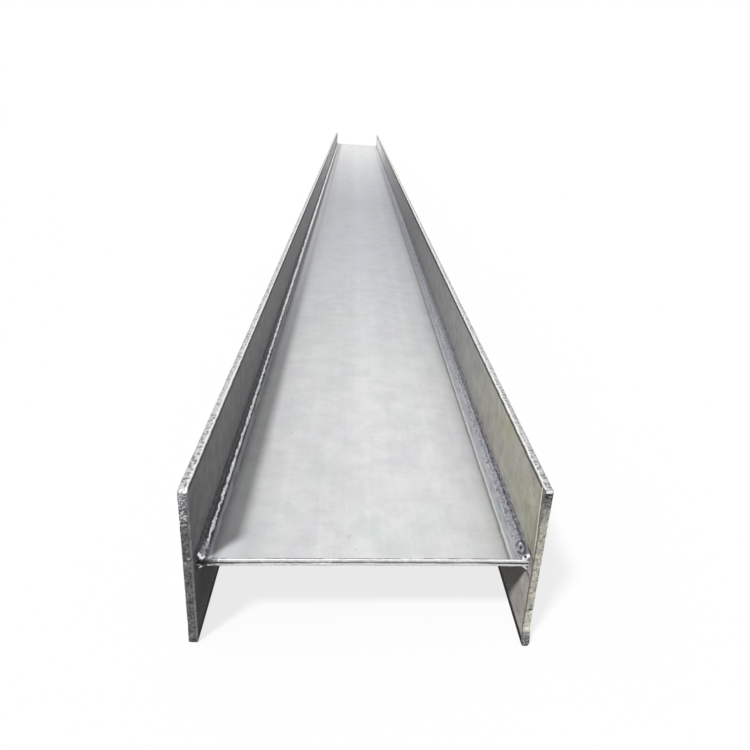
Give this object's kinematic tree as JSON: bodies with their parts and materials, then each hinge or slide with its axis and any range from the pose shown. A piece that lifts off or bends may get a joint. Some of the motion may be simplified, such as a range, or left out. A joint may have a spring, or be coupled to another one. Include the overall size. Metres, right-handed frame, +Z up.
{
  "type": "welded steel h-beam",
  "caption": "Welded H-section steel beam: a flat web plate between parallel flange plates, joined by continuous fillet welds, lying on its flange edges.",
  "frame": {"origin": "on the floor under the middle of the beam, halfway along its length and halfway between the flanges", "axes": "+Y along the beam, away from the end seen in the picture; +X across it, towards the right flange; +Z up, square to the level web"},
  "size_m": [0.38, 6, 0.2],
  "materials": {
    "web_steel": "pickled mill finish, matt, pale grey with faint lengthwise streaks",
    "flange_steel": "mill finish, matt mid grey, with rough cut ends",
    "weld_metal": "rippled weld bead, brushed bright on its crest with dark toes"
  },
  "bodies": {
    "root": {"web_plate": "web_steel", "flange_left": "flange_steel", "flange_right": "flange_steel", "weld_upper_left": "weld_metal", "weld_upper_right": "weld_metal", "weld_lower_left": "weld_metal", "weld_lower_right": "weld_metal"}
  },
  "joints": []
}
